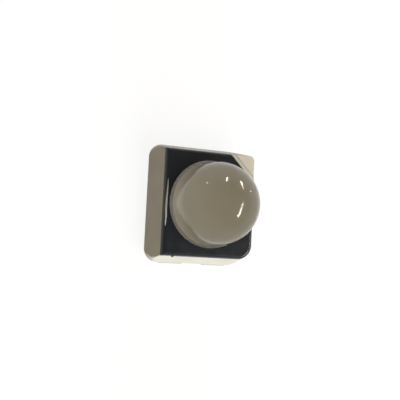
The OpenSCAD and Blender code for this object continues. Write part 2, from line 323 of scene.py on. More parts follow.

# %% [markdown]
# ## Finish: milky lens resin
# The lens is cast from clear epoxy with a fine white filler, so light wanders about in it and comes out
# grey-beige and even. Subsurface scattering gives that softness. Towards the foot the base colour is
# painted paler, as painted light that stands in for the white cup glowing up through the resin, and a
# low roughness keeps the lamps' reflections crisp. A run of the same resin that is as thin as paint
# can't let light wander, so it gets a plain surface finish.

# %% The milky resin
def height_share(tree, where, low_mm, high_mm):
    """Zero at the low height, one at the high one."""
    apart = tree.nodes.new("ShaderNodeSeparateXYZ")
    tree.links.new(where, apart.inputs[0])
    share = tree.nodes.new("ShaderNodeMapRange")
    share.inputs["From Min"].default_value = low_mm * METRES_PER_MM
    share.inputs["From Max"].default_value = high_mm * METRES_PER_MM
    tree.links.new(apart.outputs["Z"], share.inputs["Value"])
    return share.outputs["Result"]


def make_milky_resin():
    material, tree, shader, where = new_finish("milky_lens_resin")
    drift = cloud(tree, where, 1.6, detail=2)
    deep = between(tree, drift, [(0.3, (0.52, 0.52, 0.46)), (0.7, (0.56, 0.56, 0.50))])
    # Painted light: the base colour is lifted to near white at the foot and fades up to the plain resin colour,
    # standing in for the white cup's light shining up through the resin.
    painted_glow_height = height_share(tree, where, FACE_Z, FACE_Z + 0.95)
    painted_foot_glow = between(tree, painted_glow_height, [(0.0, (0.99, 0.98, 0.92)), (0.10, (0.97, 0.96, 0.90)), (0.35, (0.82, 0.81, 0.74)), (1.0, (0.53, 0.53, 0.47))])
    painted_glow_mix = tree.nodes.new("ShaderNodeMix")
    painted_glow_mix.data_type = "RGBA"
    painted_glow_mix.blend_type = "LIGHTEN"
    painted_glow_mix.inputs["Factor"].default_value = 1.0
    tree.links.new(deep, painted_glow_mix.inputs["A"])
    tree.links.new(painted_foot_glow, painted_glow_mix.inputs["B"])
    tree.links.new(painted_glow_mix.outputs["Result"], shader.inputs["Base Color"])
    shader.inputs["Subsurface Weight"].default_value = 1.0
    shader.inputs["Subsurface Radius"].default_value = (1.0, 0.95, 0.88)
    shader.inputs["Subsurface Scale"].default_value = 0.0006
    shader.inputs["Specular IOR Level"].default_value = 0.36
    gloss = between(tree, cloud(tree, where, 0.6, detail=2), [(0.3, grey(0.09)), (0.7, grey(0.11))])
    tree.links.new(gloss, shader.inputs["Roughness"])
    return material


def make_thin_resin():
    """The same resin in a skin so thin that light doesn't wander about in it."""
    material, tree, shader, where = new_finish("thin_lens_resin")
    streaky = cloud(tree, where, 0.09, detail=3, stretch=(1.0, 0.3, 1.0))
    stops = [(0.3, (0.36, 0.36, 0.325)), (0.7, (0.44, 0.44, 0.405))]
    tree.links.new(between(tree, streaky, stops), shader.inputs["Base Color"])
    tree.links.new(between(tree, streaky, [(0.3, grey(0.08)), (0.7, grey(0.16))]), shader.inputs["Roughness"])
    return material


milky_resin = make_milky_resin()
thin_resin = make_thin_resin()
print("made", milky_resin.name, "and", thin_resin.name)

# %% [markdown]
# ## Finish: plated lead metal
# The leads are stamped from copper alloy and plated with silver. The plating is pale and satin, drawn
# along the strip it was stamped from, and it tarnishes in soft yellowish and bluish patches.

# %% The plated metal
def make_lead_metal():
    material, tree, shader, where = new_finish("silver_plated_lead")
    tarnish = cloud(tree, where, 0.45, detail=4)
    stops = [(0.30, (0.52, 0.56, 0.62)), (0.55, (0.66, 0.67, 0.68)), (0.75, (0.70, 0.66, 0.58))]
    tree.links.new(between(tree, tarnish, stops), shader.inputs["Base Color"])
    shader.inputs["Metallic"].default_value = 1.0
    drawn = cloud(tree, where, 0.05, detail=3, stretch=(1.0, 0.12, 0.12))
    sheen = between(tree, drawn, [(0.3, grey(0.26)), (0.7, grey(0.42))])
    tree.links.new(sheen, shader.inputs["Roughness"])
    roughen(tree, shader, drawn, 0.0015)
    return material


lead_metal = make_lead_metal()
print("made", lead_metal.name)

# %% [markdown]
# ## Finishes of the parts inside
# The chips are sawn from wafers: the red one from a dark opaque crystal, the green and blue ones from
# clear sapphire, whose sawn sides are frosted. The glue under the red chip is full of silver flakes and
# also conducts, while the clear chips stand on clear glue. The wires are pure gold, drawn smooth.

# %% Chips, glues and gold
def make_crystal(name, low, high, clear):
    """A sawn and polished crystal, with fine saw lines on its sides."""
    material, tree, shader, where = new_finish(name)
    tree.links.new(between(tree, cloud(tree, where, 0.12), [(0.3, low), (0.7, high)]), shader.inputs["Base Color"])
    saw_lines = cloud(tree, where, 0.012, detail=2, stretch=(0.2, 0.2, 1.0))
    tree.links.new(between(tree, saw_lines, [(0.3, grey(0.16)), (0.7, grey(0.34))]), shader.inputs["Roughness"])
    shader.inputs["Transmission Weight"].default_value = clear
    shader.inputs["IOR"].default_value = 1.77
    roughen(tree, shader, saw_lines, 0.0008)
    return material


def make_glue(name, low, high, metal, rough):
    """Cured glue: wavy at its edge, and grainy where it is filled with silver."""
    material, tree, shader, where = new_finish(name)
    flakes = cloud(tree, where, 0.015, detail=3)
    tree.links.new(between(tree, flakes, [(0.35, low), (0.65, high)]), shader.inputs["Base Color"])
    tree.links.new(between(tree, flakes, [(0.3, grey(rough)), (0.7, grey(rough + 0.15))]), shader.inputs["Roughness"])
    shader.inputs["Metallic"].default_value = metal
    roughen(tree, shader, flakes, 0.0010)
    return material


def make_gold():
    material, tree, shader, where = new_finish("drawn_gold")
    rubbed = cloud(tree, where, 0.02, detail=3)
    stops = [(0.3, (0.82, 0.62, 0.26)), (0.7, (0.88, 0.70, 0.34))]
    tree.links.new(between(tree, rubbed, stops), shader.inputs["Base Color"])
    tree.links.new(between(tree, rubbed, [(0.3, grey(0.16)), (0.7, grey(0.28))]), shader.inputs["Roughness"])
    shader.inputs["Metallic"].default_value = 1.0
    roughen(tree, shader, rubbed, 0.0004)
    return material


crystals = {
    "red": make_crystal("red_chip_crystal", (0.22, 0.07, 0.06), (0.30, 0.10, 0.08), 0.0),
    "green": make_crystal("green_chip_sapphire", (0.30, 0.50, 0.35), (0.38, 0.58, 0.42), 0.4),
    "blue": make_crystal("blue_chip_sapphire", (0.28, 0.40, 0.60), (0.36, 0.48, 0.68), 0.4),
}
silver_glue = make_glue("silver_filled_glue", (0.55, 0.55, 0.53), (0.74, 0.74, 0.72), 0.8, 0.40)
clear_glue = make_glue("clear_chip_glue", (0.80, 0.77, 0.66), (0.86, 0.84, 0.76), 0.0, 0.12)
gold = make_gold()
print("made", len(crystals), "crystals, two glues and gold")

# %% [markdown]
# ## Outlines of the moulded body
# Seen from above, the body is a rectangle with rounded corners. The walls lean, so the face is smaller
# than the parting plane. The left corners and the bare corner are rounded straight up, so on the face
# the left ones come out sharp, where the leaning walls have moved inside the rounding. The last corner
# leans in with the walls and stays round up to the face. The lower half has smaller roundings.
# Each level's outline is found by clipping a rectangle with many straight cuts, and is then walked
# once round by the direction of its edge. That gives each level the same number of points.

# %% Walk a level's outline
WALK_STEPS = 144
EDGE_R = 0.025


def clip(polygon, normal, distance):
    """The part of a convex polygon where normal . point is at most distance."""
    kept = []
    for i, here in enumerate(polygon):
        there = polygon[(i + 1) % len(polygon)]
        here_side = here @ normal - distance
        there_side = there @ normal - distance
        if here_side <= 0:
            kept.append(here)
        if here_side * there_side < 0:
            kept.append(here + (there - here) * here_side / (here_side - there_side))
    return kept


def upper_corner(normal):
    """Centre and radius of the upper half's rounded corner that faces the normal's way."""
    corner_r = LEFT_CORNER_R if normal[0] < 0 else (MARKED_CORNER_R if normal[1] > 0 else RIGHT_CORNER_R)
    return np.sign(normal) * (np.array([BODY_X, BODY_Y]) / 2 - corner_r), corner_r


def lower_corner(normal):
    return np.sign(normal) * (np.array([LOWER_X, LOWER_Y]) / 2 - LOWER_CORNER_R), LOWER_CORNER_R


def walk_outline(half_x, half_y, inset=0.0, mark=None, edge_r=EDGE_R, lean=0.0, corner_of=upper_corner):
    """Points round one level. Inset shrinks the outline, and mark is the distance of the corner cut."""
    inner_x, inner_y = half_x - inset - edge_r, half_y - inset - edge_r
    polygon = [np.array(p) for p in
               [(-inner_x, -inner_y), (inner_x, -inner_y), (inner_x, inner_y), (-inner_x, inner_y)]]
    angles = (np.arange(WALK_STEPS) + 0.5) * 2 * math.pi / WALK_STEPS
    normals = np.stack([np.cos(angles), np.sin(angles)], axis=1)
    for normal in normals:
        centre, corner_r = corner_of(normal)
        leaning = lean if normal[0] > 0 > normal[1] else 0.0
        polygon = clip(polygon, normal, centre @ normal + corner_r - leaning - inset - edge_r)
    if mark is not None:
        polygon = clip(polygon, np.array([1.0, 1.0]) / math.sqrt(2), mark - edge_r)
    corners = np.array(polygon)
    outline = []
    for normal in normals:
        reach = corners @ normal
        touching = corners[reach > reach.max() - 1e-7]
        outline.append(touching.mean(axis=0) + edge_r * normal)
    return np.array(outline)


def fill_straights(loops, longest):
    """Add points along the straight runs, at the same places of every loop."""
    reference = loops[0][:, :2]
    filled = [[] for _ in loops]
    for i in range(len(reference)):
        j = (i + 1) % len(reference)
        run = max(np.linalg.norm(loop[j, :2] - loop[i, :2]) for loop in loops)
        steps = max(1, math.ceil(run / longest))
        for loop, out in zip(loops, filled):
            for k in range(steps):
                out.append(loop[i] + (loop[j] - loop[i]) * k / steps)
    return [np.array(out) for out in filled]


def at_height(outline, z):
    """An outline as a loop in space."""
    return np.column_stack([outline, np.full(len(outline), z)])


print("an outline has", len(walk_outline(BODY_X / 2, BODY_Y / 2)), "points")

# %% [markdown]
# ## The white body
# The lower half leans in towards the underside and is stepped in on the two lead sides, where the leads
# run down. The upper half starts with a narrow upright land at the parting plane and leans in towards
# the face. The skin goes up to the face and is cut down afterwards: for the black layer's bed, for the
# bare corner with its sloping white shoulder, for the reflector cup, and for the feet's pockets.

# %% Half widths at a height
def upper_half(size, z):
    lean = UPPER_DRAFT * (z - PART_Z - LAND_H) / (FACE_Z - PART_Z - LAND_H)
    return size / 2 - max(lean, 0.0)


def lower_half(size, z):
    lean = LOWER_DRAFT * (PART_Z - LAND_H - z) / (PART_Z - LAND_H - UNDER_Z)
    return size / 2 - lean


TOP_EDGE_R = 0.09


def upper_level(z, inset=0.0, mark=None, edge_r=EDGE_R):
    half_x, half_y = upper_half(BODY_X, z), upper_half(BODY_Y, z)
    return at_height(walk_outline(half_x, half_y, inset, mark, edge_r, BODY_X / 2 - half_x), z)


def lower_level(z, inset=0.0):
    outline = walk_outline(lower_half(LOWER_X, z), lower_half(LOWER_Y, z), inset, corner_of=lower_corner)
    return at_height(outline, z)


UNDER_EDGE_R = 0.03
body_loops = []
for degrees in (0, 30, 60, 90):
    a = math.radians(degrees)
    body_loops.append(lower_level(UNDER_Z + UNDER_EDGE_R * (1 - math.cos(a)),
                                  UNDER_EDGE_R * (1 - math.sin(a))))
body_loops += [lower_level(z) for z in (0.22, 0.38, PART_Z)]
LAND_EASE = 0.008
body_loops += [upper_level(PART_Z, LAND_EASE), upper_level(PART_Z + LAND_EASE), upper_level(PART_Z + LAND_H)]
body_loops += [upper_level(z) for z in (0.80, 1.05, 1.30, BLACK_Z, FACE_Z - TOP_EDGE_R)]
for degrees in (20, 40, 60, 80):
    a = math.radians(degrees)
    body_loops.append(upper_level(FACE_Z - TOP_EDGE_R * (1 - math.sin(a)), TOP_EDGE_R * (1 - math.cos(a))))
body_loops.append(upper_level(FACE_Z, TOP_EDGE_R))
housing = on_bench("housing_moulding", skin(fill_straights(body_loops, 0.25)))
print("the plain moulding has", len(housing.data.polygons), "faces")

# %% [markdown]
# The cutters are simple solids that reach well past the body. The bare corner's cutter is a long prism
# laid along the diagonal, and its section gives the shoulder: a narrow flat top and a slope to the floor.
# A fine groove where the slope ends is the seam of the mould's insert, and shows as a thin dark line.

# %% The cutters
REACH = 4.0
MARK_DIST = ((BODY_X + BODY_Y) / 2 - 2 * UPPER_DRAFT - 0.90) / math.sqrt(2)
SHOULDER_TOP_W, SHOULDER_W = 0.05, 0.18
SEAM_DEPTH = 0.030
CUP_FLOOR_D, CUP_MOUTH_D = 1.90, 2.60
LATHE_STEPS = 160


def diagonal_prism(section):
    """A prism along the corner's cut. The section is in distance along the diagonal, and height."""
    along, across = np.array([1, 1, 0]) / math.sqrt(2), np.array([-1, 1, 0]) / math.sqrt(2)
    loops = []
    for side in (-REACH, REACH):
        loops.append([along * d + across * side + np.array([0, 0, z]) for d, z in section])
    return skin(loops)


def block(low, high):
    """A box between two corners."""
    (x0, y0, z0), (x1, y1, z1) = low, high
    return skin([[(x0, y0, z), (x1, y0, z), (x1, y1, z), (x0, y1, z)] for z in (z0, z1)])


def cup_radius(z):
    return (CUP_FLOOR_D + (CUP_MOUTH_D - CUP_FLOOR_D) * (z - PART_Z) / (FACE_Z - PART_Z)) / 2


black_bed = on_bench("black_bed", diagonal_prism(
    [(-REACH, BLACK_Z), (MARK_DIST, BLACK_Z), (MARK_DIST, REACH), (-REACH, REACH)]))
slope_end = MARK_DIST + SHOULDER_W
bare_corner = on_bench("bare_corner", diagonal_prism(
    [(slope_end - 0.016, BLACK_Z + 0.016), (slope_end - 0.004, BLACK_Z - SEAM_DEPTH),
     (slope_end + 0.010, BLACK_Z - SEAM_DEPTH), (slope_end + 0.018, BLACK_Z), (REACH, BLACK_Z), (REACH, REACH),
     (MARK_DIST + SHOULDER_TOP_W, REACH), (MARK_DIST + SHOULDER_TOP_W, FACE_Z - 0.004)]))
cup_cutter = on_bench("cup_cutter", lathe(
    [(0, PART_Z), (CUP_FLOOR_D / 2, PART_Z), (cup_radius(2.2), 2.2), (0, 2.2)], LATHE_STEPS))
print("bare corner starts", round(MARK_DIST, 4), "mm from the axis")

# %% [markdown]
# Each foot folds into a pocket, so the LED stands flat. The round well in the underside is where the
# plastic was let into the mould: the gate's stump stays below the surface there.

# %% The pockets and the well
LEAD_PITCH, LEAD_W, LEAD_T = 1.60, 0.80, 0.15
LEAD_FACE_Y, FOOT_LEN = 2.01, 0.75
POCKET_ROOM, POCKET_TOP_Z = 0.05, 0.17
WELL_D, WELL_DEPTH = 0.80, 0.06

pocket_y = LEAD_FACE_Y - FOOT_LEN - POCKET_ROOM
cutters = [black_bed, bare_corner, cup_cutter]
for side_x in (-1, 1):
    for side_y in (-1, 1):
        x0 = side_x * LEAD_PITCH / 2 - LEAD_W / 2 - POCKET_ROOM
        ys = sorted((side_y * pocket_y, side_y * REACH))
        pocket = block((x0, ys[0], -1), (x0 + LEAD_W + 2 * POCKET_ROOM, ys[1], POCKET_TOP_Z))
        cutters.append(on_bench("foot_pocket", pocket))
well_top = UNDER_Z + WELL_DEPTH
well = lathe([(0, -1), (WELL_D / 2, -1), (WELL_D / 2, well_top), (0, well_top)], 64)
cutters.append(on_bench("gate_well", well))
cut_away(housing, *cutters)
ease_edges(housing, 0.012)
into_place(housing, "housing_body", white_plastic, "white_body", "housing")

# %% [markdown]
# ## The black layer
# It is a flat frame round the cup's mouth, flush with the body's walls, and it ends in a straight cut
# that shows which lead is the common anode. Its upper edge is softly rounded. The skin runs up the outside,
# over the top, into the mouth, down the cup's cone and back along the bed to where it started.

# %% The black frame
BLACK_EDGE_STEPS = (0, 15, 30, 45, 60, 75, 90)
MARK_EASE = 0.02

outer_loops = [upper_level(BLACK_Z, mark=MARK_DIST)]
for degrees in BLACK_EDGE_STEPS:
    a = math.radians(degrees)
    inset = TOP_EDGE_R * (1 - math.cos(a))
    z = FACE_Z - TOP_EDGE_R * (1 - math.sin(a))
    outer_loops.append(upper_level(z, inset, MARK_DIST - MARK_EASE * (1 - math.cos(a))))
outer_loops = fill_straights(outer_loops, 0.06)
rim = outer_loops[-1]
headings = np.arctan2(rim[:, 1], rim[:, 0])
mouth_ring = np.column_stack([np.cos(headings), np.sin(headings)])


def mouth_loop(radius, z):
    return at_height(mouth_ring * radius, z)


MARGIN_STEPS = 4
inner_loops = []
for k in range(1, MARGIN_STEPS + 1):
    share = k / MARGIN_STEPS
    inner_loops.append(rim + (mouth_loop(CUP_MOUTH_D / 2, FACE_Z) - rim) * share)
inner_loops.append(mouth_loop(cup_radius(BLACK_Z), BLACK_Z))
frame_points, frame_faces = skin(outer_loops + inner_loops, False, False)
count = len(rim)
last = (len(outer_loops) + len(inner_loops) - 1) * count
frame_faces += [(last + i, last + (i + 1) % count, (i + 1) % count, i) for i in range(count)]

# %% [markdown]
# A tiny stub stands on the lower edge near the left corner. It is what was left where the black resin
# was fed in and snapped off, so it is a small rounded knob with a rough outline.

# %% The gate stub, joined to the frame
NUB_X, NUB_R = -1.20, 0.05
nub_y = -upper_half(BODY_Y, BLACK_Z + 0.07)
nub_loops = []
for z, share in ((1.550, 0.80), (1.560, 1.0), (1.585, 1.0), (1.605, 0.92), (1.615, 0.70), (1.620, 0.35)):
    ring = []
    for k in range(24):
        a = 2 * math.pi * k / 24
        r = NUB_R * share * (1 + 0.06 * math.sin(3 * a + 9 * z) - 0.05)
        ring.append((NUB_X + r * math.cos(a), nub_y + r * math.sin(a), z))
    nub_loops.append(ring)
black_face = on_bench("black_layer", join_shells((frame_points, frame_faces), skin(nub_loops)))
into_place(black_face, "black_face_layer", black_resin, "black_layer", "black_face")

# %% [markdown]
# ## The lens
# The lens is cast in one shot: it fills the cup, laps a little onto the black face as a low foot, rises
# as a barrel and ends in a half sphere. A lathe makes it from its section. A very shallow groove where
# the barrel meets the dome is the witness line that the casting mould leaves.

# %% The lens section
FOOT_D, FOOT_H = 2.90, 0.05
DOME_D, DOME_RISE = 2.70, 0.63
BARREL_FLARE = 0.02
dome_r = DOME_D / 2
dome_z = FACE_Z + DOME_RISE
FOOT_EASE = 0.03

lens_section = [(0, PART_Z), (0.5, PART_Z), (CUP_FLOOR_D / 2 - 0.002, PART_Z)]
lens_section += [(cup_radius(z) - 0.002, z) for z in np.linspace(PART_Z, FACE_Z, 6)[1:]]
lens_section += [(FOOT_D / 2 - 0.004, FACE_Z), (FOOT_D / 2, FACE_Z + 0.004)]
for degrees in (0, 25, 50, 75, 90):
    a = math.radians(degrees)
    lens_section.append((FOOT_D / 2 - FOOT_EASE * (1 - math.cos(a)), FACE_Z + FOOT_H - FOOT_EASE * (1 - math.sin(a))))
barrel_foot_r = dome_r + BARREL_FLARE
lens_section += [(barrel_foot_r + 0.006, FACE_Z + FOOT_H + 0.002), (barrel_foot_r, FACE_Z + FOOT_H + 0.010)]
for share in np.linspace(0.1, 0.94, 10):
    z = FACE_Z + FOOT_H + share * (DOME_RISE - FOOT_H)
    lens_section.append((barrel_foot_r - BARREL_FLARE * share, z))
GROOVE_DEPTH, GROOVE_HALF = 0.004, 0.022
for share in (-1, -0.6, -0.2, 0.2, 0.6, 1):
    dip = GROOVE_DEPTH * (1 - share * share)
    lens_section.append((dome_r - dip, dome_z + GROOVE_HALF * share))
for degrees in np.linspace(2.5, 87.5, 45):
    a = math.radians(degrees)
    lens_section.append((dome_r * math.cos(a), dome_z + dome_r * math.sin(a)))
lens_section.append((0, dome_z + dome_r))
lens_shell = lathe(lens_section, LATHE_STEPS)
print("the lens is", round(dome_z + dome_r, 2), "mm tall over the board")

# %% The lens in place
dome_lens = on_bench("lens_casting", lens_shell)
into_place(dome_lens, "dome_lens_casting", milky_resin, "milky_resin", "dome_lens", smooth_below=40, even=False)

# %% [markdown]
# ## A run of lens resin
# A little resin has crept along the black frame's left edge and set there as a thin pale bead, pointed
# at both ends. It follows the rounded edge, so each of its sections is drawn in turns about the
# rounding's centre: a flat underside just inside the black, and a low crown above it.

# %% The bead on the rounded edge
# Each station gives the place across and along the face, and the bead's width
RUN_STATIONS = ((-1.530, 0.741, 0.006), (-1.529, 0.676, 0.020), (-1.530, 0.611, 0.030), (-1.533, 0.480, 0.041),
                (-1.536, 0.351, 0.051), (-1.543, 0.220, 0.059), (-1.549, 0.091, 0.066), (-1.553, -0.039, 0.070),
                (-1.554, -0.169, 0.071), (-1.551, -0.298, 0.069), (-1.547, -0.426, 0.064), (-1.547, -0.556, 0.057),
                (-1.549, -0.685, 0.046), (-1.550, -0.750, 0.032), (-1.551, -0.814, 0.006))
RUN_ACROSS = 9
RUN_DEPTH = 0.004

edge_x, edge_z = upper_half(BODY_X, FACE_Z) - TOP_EDGE_R, FACE_Z - TOP_EDGE_R
run_loops = []
for x, y, width in RUN_STATIONS:
    middle = math.asin((-edge_x - x) / TOP_EDGE_R)
    half_turn = width / 2 / TOP_EDGE_R
    crown = 0.20 * width + 0.005
    spread = np.linspace(-1, 1, RUN_ACROSS)
    section = [(middle + half_turn * t, TOP_EDGE_R + crown * (1 - t * t)) for t in spread]
    section += [(middle + half_turn * t, TOP_EDGE_R - RUN_DEPTH) for t in reversed(spread)]
    run_loops.append([(-edge_x - r * math.sin(a), y, edge_z + r * math.cos(a)) for a, r in section])
resin_run = on_bench("resin_run", skin(run_loops))
into_place(resin_run, "lens_resin_run", thin_resin, "milky_resin")

# %% [markdown]
# ## The chips
# The chips stand on the anode's bar. A saw leaves their sides straight, and an etch leaves the light-
# making layer as a slightly smaller step on top. The red chip has one gold pad there and passes its
# current down through the glue, and the clear chips have a pad at each end.

# %% Chips with their step and pads
CHIP_Z = PART_Z + 0.02
CHIP_PITCH = 0.50
CHIPS = {"red": (0.0, 0.25, 0.25, 0.17), "green": (-CHIP_PITCH, 0.22, 0.34, 0.10), "blue": (CHIP_PITCH, 0.22, 0.34, 0.10)}
STEP_IN, STEP_H = 0.010, 0.008


def rounded_box_loop(x, half_x, half_y, z, corner_r, steps=4):
    """A small rectangle with rounded corners, as a loop."""
    loop = []
    for start, sign_x, sign_y in ((0, 1, 1), (90, -1, 1), (180, -1, -1), (270, 1, -1)):
        for k in range(steps + 1):
            a = math.radians(start + 90 * k / steps)
            loop.append((x + sign_x * (half_x - corner_r) + corner_r * math.cos(a),
                         sign_y * (half_y - corner_r) + corner_r * math.sin(a), z))
    return loop


def make_chip(x, width, length, height):
    low, step, top = CHIP_Z, CHIP_Z + height - STEP_H, CHIP_Z + height
    stack = ((0.004, low), (0.0, low + 0.004), (0.0, step - 0.003), (0.003, step), (STEP_IN, step),
             (STEP_IN, top - 0.002), (STEP_IN + 0.002, top))
    return skin([rounded_box_loop(x, width / 2 - d, length / 2 - d, z, 0.006) for d, z in stack])


for colour, (x, width, length, height) in CHIPS.items():
    chip = on_bench(colour + "_chip", make_chip(x, width, length, height))
    into_place(chip, colour + "_chip_block", crystals[colour], colour + "_die", colour + "_chip")

# %% The gold pads on the chips
PAD_R, PAD_H = 0.042, 0.004
PAD_SPOTS = (("red", 0.0), ("green", 0.11), ("green", -0.11), ("blue", 0.11), ("blue", -0.11))
pad_shells = []
for colour, y in PAD_SPOTS:
    chip_x, _, _, chip_h = CHIPS[colour]
    points, faces = lathe([(0, 0.0), (PAD_R, 0.0), (PAD_R, 0.7 * PAD_H), (0.96 * PAD_R, PAD_H), (0, PAD_H)], 32)
    pad_shells.append(([(chip_x + px, y + py, CHIP_Z + chip_h + pz) for px, py, pz in points], faces))
pads = on_bench("chip_pads", join_shells(*pad_shells))
into_place(pads, "chip_bond_pads", gold, "gold_wire")

# %% [markdown]
# The glue is pressed out under a chip as it is set down, so it shows as a low wavy skirt all round.

# %% The glue skirts
SKIRT = 0.02


def make_skirt(x, width, length, phase):
    loops = []
    for d, z in ((0.001, PART_Z), (0.0, PART_Z + 0.003), (0.004, PART_Z + 0.010), (0.012, PART_Z + 0.016),
                 (SKIRT + 0.002, CHIP_Z)):
        loop = rounded_box_loop(x, width / 2 + SKIRT - d, length / 2 + SKIRT - d, z, 0.022, steps=8)
        wavy = []
        for k, (px, py, pz) in enumerate(loop):
            wave = 1 - 0.012 * (1 + math.sin(0.9 * k + phase)) * (1 if d < SKIRT else 0)
            wavy.append((x + (px - x) * wave, py * wave, pz))
        loops.append(wavy)
    return skin(loops)


for phase, (colour, (x, width, length, height)) in enumerate(CHIPS.items()):
    skirt = on_bench(colour + "_skirt", make_skirt(x, width, length, phase))
    finish, slot = (silver_glue, "silver_glue") if colour == "red" else (clear_glue, "clear_glue")
    into_place(skirt, colour + "_glue_skirt", finish, slot, colour + "_die_attach")

# %% [markdown]
# ## The bond wires
# A bonder melts the gold wire's end into a ball and presses it onto the chip's pad, rises, swings over,
# and squashes the wire off on the lead as a flat stitch. Each wire is a round tube swept along such a
# path, with a turned ball at its start and a turned stitch at its end.

# %% Sweep the wires
WIRE_R, BALL_R, BALL_H, STITCH_R, STITCH_H = 0.0125, 0.0375, 0.020, 0.035, 0.020
WIRE_SIDES, WIRE_STEPS = 16, 40
WIRES = {
    "red_cathode_wire": ("red", 0.00, (0.00, 0.67)),
    "green_anode_wire": ("green", 0.11, (-0.28, 0.00)),
    "green_cathode_wire": ("green", -0.11, (0.00, -0.56)),
    "blue_anode_wire": ("blue", 0.11, (0.14, 0.42)),
    "blue_cathode_wire": ("blue", -0.11, (0.00, -0.56)),
}


def wire_path(span, rise):
    """Places and headings along the loop, in the upright plane that it lies in."""
    handles = np.array([[0, rise + 0.010], [0, rise + 0.250], [0.85 * span, 0.014], [span, 0.014]])
    t = np.linspace(0, 1, WIRE_STEPS)[:, None]
    places = ((1 - t) ** 3 * handles[0] + 3 * (1 - t) ** 2 * t * handles[1]
              + 3 * (1 - t) * t ** 2 * handles[2] + t ** 3 * handles[3])
    headings = (3 * (1 - t) ** 2 * (handles[1] - handles[0]) + 6 * (1 - t) * t * (handles[2] - handles[1])
                + 3 * t ** 2 * (handles[3] - handles[2]))
    return places, headings / np.linalg.norm(headings, axis=1)[:, None]


def make_wire(start, reach, rise):
    span = math.hypot(*reach)
    forward = np.array([reach[0] / span, reach[1] / span, 0.0])
    aside = np.array([-forward[1], forward[0], 0.0])
    up = np.array([0.0, 0.0, 1.0])
    origin = np.array([start[0], start[1], PART_Z])
    loops = []
    for (along, height), (ahead, climb) in zip(*wire_path(span, rise)):
        across = -climb * forward + ahead * up
        middle = origin + along * forward + height * up
        angles = np.arange(WIRE_SIDES) * 2 * math.pi / WIRE_SIDES
        loops.append([middle + WIRE_R * (math.cos(a) * aside + math.sin(a) * across) for a in angles])
    ball = [(0, PAD_H), (0.74 * BALL_R, PAD_H), (0.94 * BALL_R, 0.32 * BALL_H), (BALL_R, 0.50 * BALL_H),
            (0.92 * BALL_R, 0.75 * BALL_H), (0.66 * BALL_R, 0.94 * BALL_H), (0.45 * BALL_R, BALL_H), (0, BALL_H)]
    stitch = [(0, 0.0), (0.94 * STITCH_R, 0.0), (STITCH_R, 0.25 * STITCH_H), (0.86 * STITCH_R, 0.60 * STITCH_H),
              (0.60 * STITCH_R, 0.88 * STITCH_H), (0.35 * STITCH_R, STITCH_H), (0, STITCH_H)]
    shells = [skin(loops)]
    for profile, place in ((ball, origin + rise * up), (stitch, origin + span * forward)):
        points, faces = lathe(profile, 24)
        shells.append(([place + np.array(p) for p in points], faces))
    return join_shells(*shells)


for node, (colour, start_y, reach) in WIRES.items():
    chip_x, _, _, chip_h = CHIPS[colour]
    wire = on_bench(node, make_wire((chip_x, start_y), reach, CHIP_Z + chip_h - PART_Z))
    into_place(wire, node + "_bond", gold, "gold_wire", node, smooth_below=50)

# %% [markdown]
# ## The leads
# A lead is stamped flat and then bent, and the mesh is made the same way. The blank's outline is drawn
# in the plane, given its thickness, and its edges are eased. Then it is sliced across where the bends
# will be, and every point is carried along the bent path: out of the body, down, and back under it.

# %% The bending path
BEND_R = 0.07
BEND_MID_R = BEND_R + LEAD_T / 2
BEND_Y = LEAD_FACE_Y - BEND_R - LEAD_T
BEND_HIGH_Z = PART_Z - BEND_R - LEAD_T
BEND_LOW_Z = BEND_R + LEAD_T
ARC_LEN = BEND_MID_R * math.pi / 2
DROP_LEN = BEND_HIGH_Z - BEND_LOW_Z
first_end = BEND_Y + ARC_LEN
drop_end = first_end + DROP_LEN
second_end = drop_end + ARC_LEN
blank_end = second_end + BEND_Y - (LEAD_FACE_Y - FOOT_LEN)


def bent(travel, lift):
    """Y and Z of a blank's point, from its distance along the blank and its height in the metal."""
    if travel <= BEND_Y:
        return travel, PART_Z - LEAD_T / 2 + lift
    if travel <= first_end:
        a = (travel - BEND_Y) / BEND_MID_R
        return BEND_Y + (BEND_MID_R + lift) * math.sin(a), BEND_HIGH_Z + (BEND_MID_R + lift) * math.cos(a)
    if travel <= drop_end:
        return LEAD_FACE_Y - LEAD_T / 2 + lift, BEND_HIGH_Z - (travel - first_end)
    if travel <= second_end:
        a = (travel - drop_end) / BEND_MID_R
        return BEND_Y + (BEND_MID_R + lift) * math.cos(a), BEND_LOW_Z - (BEND_MID_R + lift) * math.sin(a)
    return BEND_Y - (travel - second_end), LEAD_T / 2 - lift


print("a lead's blank is", round(blank_end, 3), "mm long")

# %% [markdown]
# The four blanks differ only inside the body. The common anode carries the bar under the chips, and
# each cathode ends in a bond pad beside the bar. Small notches lock the metal in the plastic.

# %% The blanks' outlines
LEAD_X = LEAD_PITCH / 2
LEAD_IN, LEAD_OUT = LEAD_X - LEAD_W / 2, LEAD_X + LEAD_W / 2
BAR_HALF, FRAME_GAP = 0.27, 0.14
PAD_Y, PAD_END_Y = 0.41, 1.11
LOCK_DEPTH, LOCK_HALF, LOCK_Y = 0.08, 0.11, 1.38
FOOT_CHAMFER = 0.04


